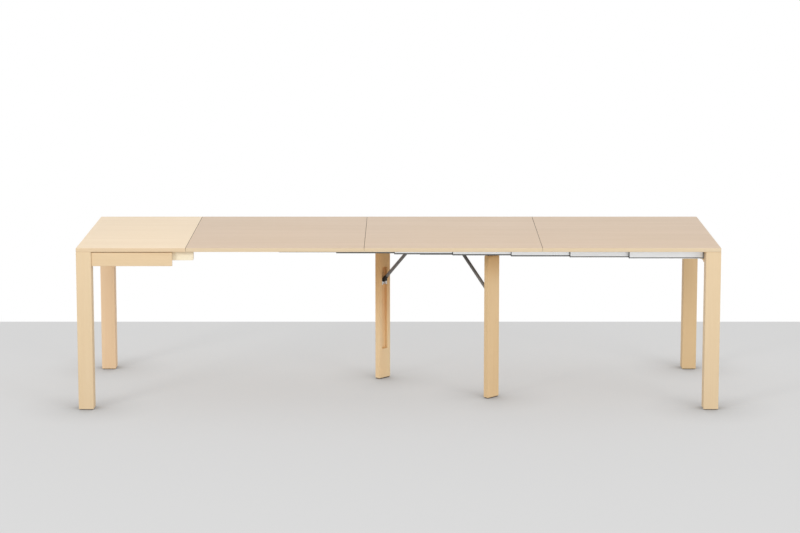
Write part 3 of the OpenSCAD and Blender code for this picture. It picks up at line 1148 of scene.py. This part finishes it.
@dataclass
class EndFrames:
    """Corner legs, glides, aprons and crossbars of both ends."""

    shop: Workshop
    leg_rounding: float = 1.6 * MM
    apron_rounding: float = 1.2 * MM
    glide_corner: float = 8 * MM
    glide_rounding: float = 0.8 * MM
    cove_radius: float = 16 * MM
    cove_lip: float = 1 * MM
    cove_width: float = 14 * MM
    cove_steps: int = 10

    def build(self) -> None:
        """Makes both ends."""
        for end in ENDS:
            for side in SIDES:
                # The rear legs take copies of leg_wood with painted light on the left one and
                # painted shade on the right one.
                wood = "leg_wood" if side == "front" else f"rear_{end}_wood"
                self._member(f"{side}_{end}_leg", wood, self.leg_rounding)
            self._glides(end)
            self.shop.dress(f"{end}_crossbar", "crossbar_wood")
        for side in SIDES:
            self._member(f"{side}_apron", "apron_wood", self.apron_rounding)
            self._cove(side)

    def _member(self, node: str, finish: str, rounding: float) -> None:
        """Makes a leg or an apron."""
        self.shop.timber(f"{node}_timber", node, finish, Slot.FRAME, rounding)

    def _cove(self, side: str) -> None:
        """Makes the hollow moulding in the corner between the end frame and its rail.

        Args:
            side: The rail that it stands under.
        """
        node = f"{side}_rail_1"
        rail = Box.of_node(node)
        end, top = rail.high.x, rail.low.z
        outer = rail.outer_y(side) - (0 if side == "front" else self.cove_width)
        reach = self.cove_radius + self.cove_lip
        axis = Vector((end - reach, outer, top - reach))
        mesh = bmesh.new()
        start = mesh.verts.new(axis + Vector((self.cove_radius, 0, 0)))
        turn_about(mesh, [start], axis, Vector((0, 1, 0)), -QUARTER_TURN, self.cove_steps)
        outline = sorted(mesh.verts, key=lambda vert: vert.co.z)
        for x, z in ((axis.x, top), (end, top), (end, axis.z)):
            outline.append(mesh.verts.new((x, outer, z)))
        extrude(mesh, [mesh.faces.new(outline)], Vector((0, self.cove_width, 0)))
        self.shop.piece(f"{side}_cove", mesh, ["leg_wood"], Slot.FRAME, node, stands_for=False)

    def _glides(self, end: str) -> None:
        """Makes the two round-cornered pads under one end.

        Args:
            end: The end.
        """
        node = f"{end}_glides"
        whole = Box.of_node(node)
        width = whole.size.x
        mesh = bmesh.new()
        for low_y in (whole.low.y, whole.high.y - width):
            low = Vector((whole.low.x, low_y, whole.low.z))
            high = Vector((whole.high.x, low_y + width, whole.high.z))
            add_block(mesh, Box(low, high), self.glide_rounding, self.glide_corner)
        self.shop.piece(f"{end}_pads", mesh, ["black_plastic"], Slot.BLACK, node)


@dataclass
class RailPacks:
    """The rails of both packs with their caps, bands of painted shade, and the end rails' bolts.
    """

    shop: Workshop
    first_inner: int = 3
    body_width: float = 23 * MM
    cap_length: float = 3 * MM
    cap_inset: float = 0.3 * MM
    cap_rounding: float = 0.5 * MM
    slot_depth: float = 7.5 * MM
    slot_low: float = 12.0 * MM
    slot_high: float = 20.9 * MM
    band_width: float = 6 * MM
    band_thickness: float = 0.6 * MM
    band_rounding: float = 0.2 * MM

    def build(self) -> None:
        """Makes the whole of both packs."""
        for side in SIDES:
            for number in range(1, RAIL_COUNT + 1):
                node = f"{side}_rail_{number}"
                inner = number >= self.first_inner
                self.shop.dress(node, "inner_rail" if inner else "anodised_rail")
                if number < RAIL_COUNT:
                    self._cap(side, node)
            self._shade_band(side)
        for end in ENDS:
            self._bolts(end)

    def _cap(self, side: str, node: str) -> None:
        """Makes the plastic cap on the free end of a rail, which leaves its guide slots open.

        Args:
            side: The pack.
            node: The rail.
        """
        rail = Box.of_node(node)
        outward = Vector((0, -1 if side == "front" else 1, 0))
        outer = rail.outer_y(side)
        inner = outer - outward.y * (self.body_width - self.cap_inset)
        low_y, high_y = sorted((outer - outward.y * self.slot_depth, inner))
        low = Vector((rail.low.x - self.cap_length, low_y, rail.low.z + self.cap_inset))
        high = Vector((rail.low.x, high_y, rail.high.z - self.cap_inset))
        middle = rail.centre.z
        mesh = bmesh.new()
        add_plain_box(mesh, Box(low, high))
        for level in (-self.slot_high, -self.slot_low, self.slot_low, self.slot_high):
            cut(mesh, (0, 0, middle + level), (0, 0, 1))
        tongues = [
            face
            for face in facing(mesh, outward)
            if not self.slot_low < abs(face.calc_center_median().z - middle) < self.slot_high
        ]
        draw_out(mesh, tongues, outward * (self.slot_depth - self.cap_inset))
        round_corners(mesh, self.cap_rounding)
        self.shop.piece(
            f"{node}_cap", mesh, ["cap_plastic"], Slot.BLACK, node, stands_for=False
        )

    def _shade_band(self, side: str) -> None:
        """Makes the grey band of painted shade on the outermost rail, where it meets the end
        frame.

        Args:
            side: The pack.
        """
        node = f"{side}_rail_1"
        rail = Box.of_node(node)
        outer = rail.outer_y(side) - (self.band_thickness if side == "front" else 0)
        low = Vector((rail.high.x - self.band_width, outer, rail.low.z + self.cap_inset))
        high = Vector((rail.high.x, outer + self.band_thickness, rail.high.z - self.cap_inset))
        mesh = bmesh.new()
        add_block(mesh, Box(low, high), self.band_rounding)
        self.shop.piece(
            f"{side}_end_shade_band", mesh, ["painted_shade_band"], Slot.BLACK, node, stands_for=False
        )

    def _bolts(self, end: str) -> None:
        """Makes the bolts through one crossbar.

        Args:
            end: The end of the table.
        """
        node = f"{end}_bolts"
        crossbar, bolts = Box.of_node(f"{end}_crossbar"), Box.of_node(node)
        bolt = SocketBolt(bolts.size.x - SocketBolt.head_height)
        seat, way = (crossbar.low.x, -1) if end == "left" else (crossbar.high.x, 1)
        turn = Matrix.Rotation(way * QUARTER_TURN, 4, "Y")
        mesh = bmesh.new()
        for y in (bolts.low.y + bolt.head_radius, bolts.high.y - bolt.head_radius):
            for z in (bolts.low.z + bolt.head_radius, bolts.high.z - bolt.head_radius):
                bolt.add_to(mesh, Matrix.Translation((seat, y, z)) @ turn)
        self.shop.piece(f"{end}_socket_bolts", mesh, ["zinc_plate"], Slot.ZINC, node)


@dataclass
class Bearers:
    """The sliding bearers and their straps."""

    shop: Workshop
    rounding: float = 1.5 * MM

    def build(self) -> None:
        """Makes both bearers."""
        for side in SIDES:
            node = f"{side}_bearer"
            self.shop.timber(
                f"{node}_block", node, "bearer_lacquer", Slot.BEARER, self.rounding
            )
        self.shop.dress("bearer_straps", "zinc_plate")


@dataclass
class MiddleSupport:
    """The carrier, the swivel plate, the folding legs and their struts."""

    shop: Workshop
    foot_corner: float = 4 * MM
    foot_rounding: float = 0.8 * MM
    tube_radius: float = 8 * MM
    eye_radius: float = 6.5 * MM
    eye_thickness: float = 8 * MM
    eye_facets: int = 40
    neck_start: float = 4 * MM
    neck_end: float = 26 * MM
    neck_steps: int = 8
    neck_inset: float = 1.2 * MM
    reach: float = 203 * MM
    rise: float = 5 * MM
    drop: float = 188 * MM
    socket: float = 4 * MM
    sleeve_rounding: float = 0.5 * MM
    sleeve_steps: int = 9
    fork_inside: float = 9.5 * MM
    fork_web: float = 2 * MM
    fork_top: float = 193 * MM
    web_top: float = 197.5 * MM
    fork_rounding: float = 0.5 * MM

    def build(self) -> None:
        """Makes the support."""
        for node in ("carrier_plate", "swivel_plate"):
            self.shop.dress(node, "dark_powder")
        for node in ("swivel_bolt", "support_pins"):
            self.shop.dress(node, "zinc_plate")
        for side in SIDES:
            # The folding legs' woods carry painted shade towards their tops.
            self.shop.dress(f"{side}_fold_leg", f"{side}_fold_wood")
            self._foot(side)
            self._strut(side)
            self._sleeve(side)
            self._shoe(side)

    def _hinge(self, side: str) -> Matrix:
        """Returns the place of a leg's hinge, with X towards the other leg."""
        hinge = self.shop.joint(f"{side}_leg_fold")
        across = Vector(hinge["axis"]).normalized()
        turn = Matrix((across.cross(UP), across, UP)).transposed().to_4x4()
        return Matrix.Translation(hinge["pos_m"]) @ turn

    def _foot(self, side: str) -> None:
        """Makes the pad under a folding leg.

        Args:
            side: The leg.
        """
        node = f"{side}_foot"
        place = self._hinge(side)
        mesh = bmesh.new()
        add_block(mesh, self.shop.box_along(node, place), self.foot_rounding, self.foot_corner)
        self.shop.piece(
            f"{side}_foot_pad", mesh, ["foot_rubber"], Slot.BLACK, node, place=place
        )

    def _shoe(self, side: str) -> None:
        """Makes a shoe: a plated fork, with black cheeks above it beside the strut's end.

        Args:
            side: The leg that it slides in.
        """
        node = f"{side}_shoe"
        place = self._hinge(side)
        whole = self.shop.box_along(node, place)
        cheeks = bmesh.new()
        sides = ((whole.low.y, -self.fork_inside), (self.fork_inside, whole.high.y))
        for low_y, high_y in sides:
            low = Vector((whole.low.x, low_y, -self.fork_top))
            high = Vector((whole.high.x, high_y, whole.high.z))
            add_block(cheeks, Box(low, high), self.fork_rounding)
        name, finishes = f"{side}_shoe_cheeks", ["black_plastic"]
        self.shop.piece(name, cheeks, finishes, Slot.BLACK, node, place=place)
        name, finishes = f"{side}_shoe_fork", ["bright_plate"]
        self.shop.piece(name, self._fork(whole), finishes, Slot.ZINC, node, place=place)

    def _fork(self, whole: Box) -> bmesh.types.BMesh:
        """Makes the fork of a shoe: a web with a cheek drawn out and up at each side.

        Args:
            whole: The box of the shoe.

        Returns:
            The mesh.
        """
        mesh = bmesh.new()
        high = Vector((whole.low.x + self.fork_web, whole.high.y, -self.web_top))
        add_plain_box(mesh, Box(whole.low, high))
        for side in (-self.fork_inside, self.fork_inside):
            cut(mesh, (0, side, 0), (0, 1, 0))
        forward = Vector((1, 0, 0))
        for way, by in ((forward, whole.high.x - high.x), (UP, self.web_top - self.fork_top)):
            outer = [
                face
                for face in facing(mesh, way)
                if abs(face.calc_center_median().y) > self.fork_inside
            ]
            draw_out(mesh, outer, way * by)
        round_corners(mesh, self.fork_rounding)
        return mesh

    def _run(self) -> Vector:
        """Returns how far a strut runs across and down at rest."""
        return Vector((self.reach - self.rise, self.drop + self.rise))

    def _strut_pin(self, side: str) -> Matrix:
        """Returns the place of a strut's upper pin, with X down the strut."""
        run = self._run()
        return (
            self._hinge(side)
            @ Matrix.Translation((self.reach, 0, self.rise))
            @ Matrix.Rotation(math.pi - math.atan2(run.y, run.x), 4, "Y")
        )

    def _strut(self, side: str) -> None:
        """Makes a strut: a tube that is pressed flat at its upper eye.

        Args:
            side: The leg that it braces.
        """
        node = f"{side}_strut"
        mesh = bmesh.new()
        turn = Matrix.Rotation(QUARTER_TURN, 4, "X")
        add_cylinder(mesh, self.eye_radius, self.eye_thickness, turn, self.eye_facets)
        self._tube(mesh)
        place = self._strut_pin(side)
        self.shop.piece(f"{side}_brace", mesh, ["brace_powder"], Slot.DARK, node, place=place)

    def _tube(self, mesh: bmesh.types.BMesh) -> None:
        """Adds the tube of a strut along X, with its neck pressed flat.

        Args:
            mesh: The mesh that it is added to.
        """
        turn = Matrix.Rotation(QUARTER_TURN, 4, "Y")
        ring = bmesh.ops.create_circle(
            mesh, cap_ends=True, segments=ROUND_FACETS, radius=self.tube_radius, matrix=turn
        )["verts"]
        neck = Vector((self.eye_thickness / 2, self.eye_radius - self.neck_inset))
        neck /= self.tube_radius
        bmesh.ops.scale(mesh, vec=(1, *neck), verts=ring)
        bmesh.ops.translate(mesh, vec=(self.neck_start, 0, 0), verts=ring)
        end = [ring[0].link_faces[0]]
        advance = Vector(((self.neck_end - self.neck_start) / self.neck_steps, 0, 0))
        last = neck
        for step in range(1, self.neck_steps + 1):
            share = step / self.neck_steps
            ease = share * share * (3 - 2 * share)
            goal = neck.lerp(Vector((1, 1)), ease)
            end = (extrude if step == 1 else draw_out)(mesh, end, advance)
            growth = (1, goal.x / last.x, goal.y / last.y)
            bmesh.ops.scale(mesh, vec=growth, verts=list(end[0].verts))
            last = goal
        length = self._run().length - self.socket
        draw_out(mesh, end, Vector((length - self.neck_end, 0, 0)))

    def _sleeve(self, side: str) -> None:
        """Makes the sleeve on a strut's lower end, a turned part with a bore and a ball end.

        Args:
            side: The leg that the strut braces.
        """
        node = f"{side}_sleeve"
        place = self._strut_pin(side)
        whole = self.shop.box_along(node, place)
        start, radius = whole.low.x, whole.size.y / 2
        seat = self._run().length - self.socket
        pin = Vector((whole.high.x - radius, 0, 0))
        mesh = bmesh.new()
        rim = mesh.verts.new(pin + UP * radius)
        across = Vector((0, 1, 0))
        turn_about(mesh, [rim], pin, across, QUARTER_TURN, self.sleeve_steps)
        for x, z in (
            (start + self.sleeve_rounding, radius),
            (start, radius - self.sleeve_rounding),
            (start, self.tube_radius),
            (seat, self.tube_radius),
            (seat, 0.0),
        ):
            point = mesh.verts.new((x, 0, z))
            mesh.edges.new((rim, point))
            rim = point
        profile = [*mesh.verts, *mesh.edges]
        turn_about(mesh, profile, Vector(), Vector((1, 0, 0)), 2 * math.pi, ROUND_FACETS)
        name = f"{side}_brace_sleeve"
        self.shop.piece(name, mesh, ["black_plastic"], Slot.BLACK, node, place=place)


# The studio


class Lamp(NamedTuple):
    """A soft square lamp: its name, place, width and power in watts."""

    name: str
    place: Triple
    width: float
    power: float


@dataclass
class Studio:
    """A pale floor, soft light and the camera of the photograph's view."""

    eye: Triple = (0.0256, -10.8318, 2.635)
    tilt: float = math.radians(7.819)
    lens: float = 102.096
    sensor: float = 36.0
    shift: Tuple[float, float] = (-0.00502, -0.14)
    clip: Tuple[float, float] = (0.1, 100.0)
    floor_colour: Colour = (221, 221, 221)
    floor_roughness: float = 0.9
    floor_back: float = 1.53
    floor_front: float = -9.0
    floor_half: float = 9.0
    floor_glow: float = 0.58
    # The reach, depth and samples of the painted contact shadow around the feet.
    painted_shadow_reach: float = 0.3
    painted_shadow_depth: float = 1.6
    painted_shadow_samples: int = 16
    ambient: float = 0.65
    aim: Triple = (0.0, 0.0, 0.6)
    lamps: Tuple[Lamp, ...] = (
        Lamp("key_light", (-7.0, -8.0, 4.6), 2.6, 310.0),
        Lamp("fill_light", (7.5, -8.0, 4.0), 5.0, 340.0),
        Lamp("top_light", (0.0, 0.5, 7.0), 6.0, 30.0),
        Lamp("back_light", (0.0, 9.0, 4.5), 6.0, 110.0),
    )

    def build(self) -> None:
        """Sets up the whole studio."""
        scene = bpy.context.scene
        scene.view_settings.view_transform = "Standard"
        self._camera(scene)
        self._floor(scene)
        self._world(scene)
        for lamp in self.lamps:
            self._hang(scene, lamp)

    def _camera(self, scene: bpy.types.Scene) -> None:
        """Makes the camera and sets it."""
        data = bpy.data.cameras.new("photo_camera")
        data.lens, data.sensor_width = self.lens, self.sensor
        data.shift_x, data.shift_y = self.shift
        data.clip_start, data.clip_end = self.clip
        camera = bpy.data.objects.new("photo_camera", data)
        camera.location = self.eye
        camera.rotation_euler = (QUARTER_TURN - self.tilt, 0, 0)
        scene.collection.objects.link(camera)
        scene.camera = camera

    def _floor(self, scene: bpy.types.Scene) -> None:
        """Makes the plain floor, which ends behind the table."""
        mesh = bmesh.new()
        ends = bmesh.ops.create_grid(mesh, x_segments=1, y_segments=1, size=1.0)["verts"]
        half_depth = (self.floor_back - self.floor_front) / 2
        bmesh.ops.scale(mesh, vec=(self.floor_half, half_depth, 1), verts=ends)
        middle = (self.floor_back + self.floor_front) / 2
        bmesh.ops.translate(mesh, vec=(0, middle, 0), verts=ends)
        data = bpy.data.meshes.new("studio_floor")
        mesh.to_mesh(data)
        mesh.free()
        floor = bpy.data.objects.new("studio_floor", data)
        scene.collection.objects.link(floor)
        data.materials.append(self._floor_paint())
        floor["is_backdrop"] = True

    def _floor_paint(self) -> bpy.types.Material:
        """Makes the floor's paint, with its wide shadows softened where the camera sees them.

        Close to the feet the glow darkens where the sky is hidden, a painted contact shadow.

        Returns:
            The material.
        """
        material = bpy.data.materials.new("floor_paint")
        material.use_nodes = True
        sheet = NodeSheet(material.node_tree)
        colour = linear(self.floor_colour)
        seen = sheet.add("ShaderNodeLightPath", 0).outputs["Is Camera Ray"]
        share = sheet.maths("MULTIPLY", 1, 0, seen, self.floor_glow)
        feeds = {"Base Color": colour, "Roughness": self.floor_roughness}
        feeds["Specular IOR Level"] = 0.0
        paint = sheet.add("ShaderNodeBsdfPrincipled", 1, 1, feeds)
        # Painted shadow: the glow darkens where the sky is hidden near the floor, as around the
        # feet.
        feeds = {"Distance": self.painted_shadow_reach}
        painted_shadow = sheet.add(
            "ShaderNodeAmbientOcclusion", 0, 4, feeds, samples=self.painted_shadow_samples
        )
        near = sheet.maths("POWER", 1, 4, painted_shadow.outputs["AO"], self.painted_shadow_depth)
        glow = sheet.add("ShaderNodeEmission", 3, 3, {"Color": sheet.mix(2, near, BLACK, colour)})
        shaders = (share, paint.outputs[0], glow.outputs[0])
        self._send(sheet, "ShaderNodeOutputMaterial", shaders)
        return material

    def _world(self, scene: bpy.types.Scene) -> None:
        """Makes the sky: even light, and plain white where it is seen."""
        scene.world = bpy.data.worlds.new("studio_sky")
        scene.world.use_nodes = True
        sheet = NodeSheet(scene.world.node_tree)
        rays = sheet.add("ShaderNodeLightPath", 0).outputs
        seen = sheet.maths("MAXIMUM", 1, 0, rays["Is Camera Ray"], rays["Is Glossy Ray"])
        seen = sheet.maths("MAXIMUM", 2, 0, seen, rays["Is Transmission Ray"])
        shaders = [seen]
        for row, strength in ((1, self.ambient), (2, 1.0)):
            feeds = {"Strength": strength, "Color": WHITE}
            shaders.append(sheet.add("ShaderNodeBackground", 2, row, feeds).outputs[0])
        self._send(sheet, "ShaderNodeOutputWorld", shaders)

    @staticmethod
    def _send(sheet: NodeSheet, kind: str, shaders: Sequence[bpy.types.NodeSocket]) -> None:
        """Mixes two shaders and sends them to the output.

        Args:
            sheet: Their sheet.
            kind: The type of the output node.
            shaders: The factor and the two shaders.
        """
        mixed = sheet.add("ShaderNodeMixShader", 4, 0, dict(enumerate(shaders)))
        sheet.add(kind, 5, 0, {"Surface": mixed.outputs[0]})

    def _hang(self, scene: bpy.types.Scene, lamp: Lamp) -> None:
        """Hangs a lamp that points at the table.

        Only the lamps in front of the table are mirrored in it.

        Args:
            scene: The scene.
            lamp: The lamp.
        """
        data = bpy.data.lights.new(lamp.name, "AREA")
        data.shape = "SQUARE"
        data.size = lamp.width
        data.energy = lamp.power
        hung = bpy.data.objects.new(lamp.name, data)
        hung.location = lamp.place
        aim = Vector(self.aim) - Vector(lamp.place)
        hung.rotation_euler = aim.to_track_quat("-Z", "Y").to_euler()
        hung.visible_glossy = lamp.place[1] < 0
        scene.collection.objects.link(hung)


def corners() -> List[List[float]]:
    """Returns the lowest and the highest corner of the object as plain numbers."""
    return [list(corner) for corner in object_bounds()]


def main() -> None:
    """Builds the table and its studio."""
    logging.basicConfig(level=logging.INFO, format="%(name)s: %(message)s")
    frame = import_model()
    shop = Workshop(frame, Palette())
    Studio().build()
    for assembly in (TopBoards, EndFrames, RailPacks, Bearers, MiddleSupport):
        assembly(shop).build()


if __name__ == "__main__":
    main()
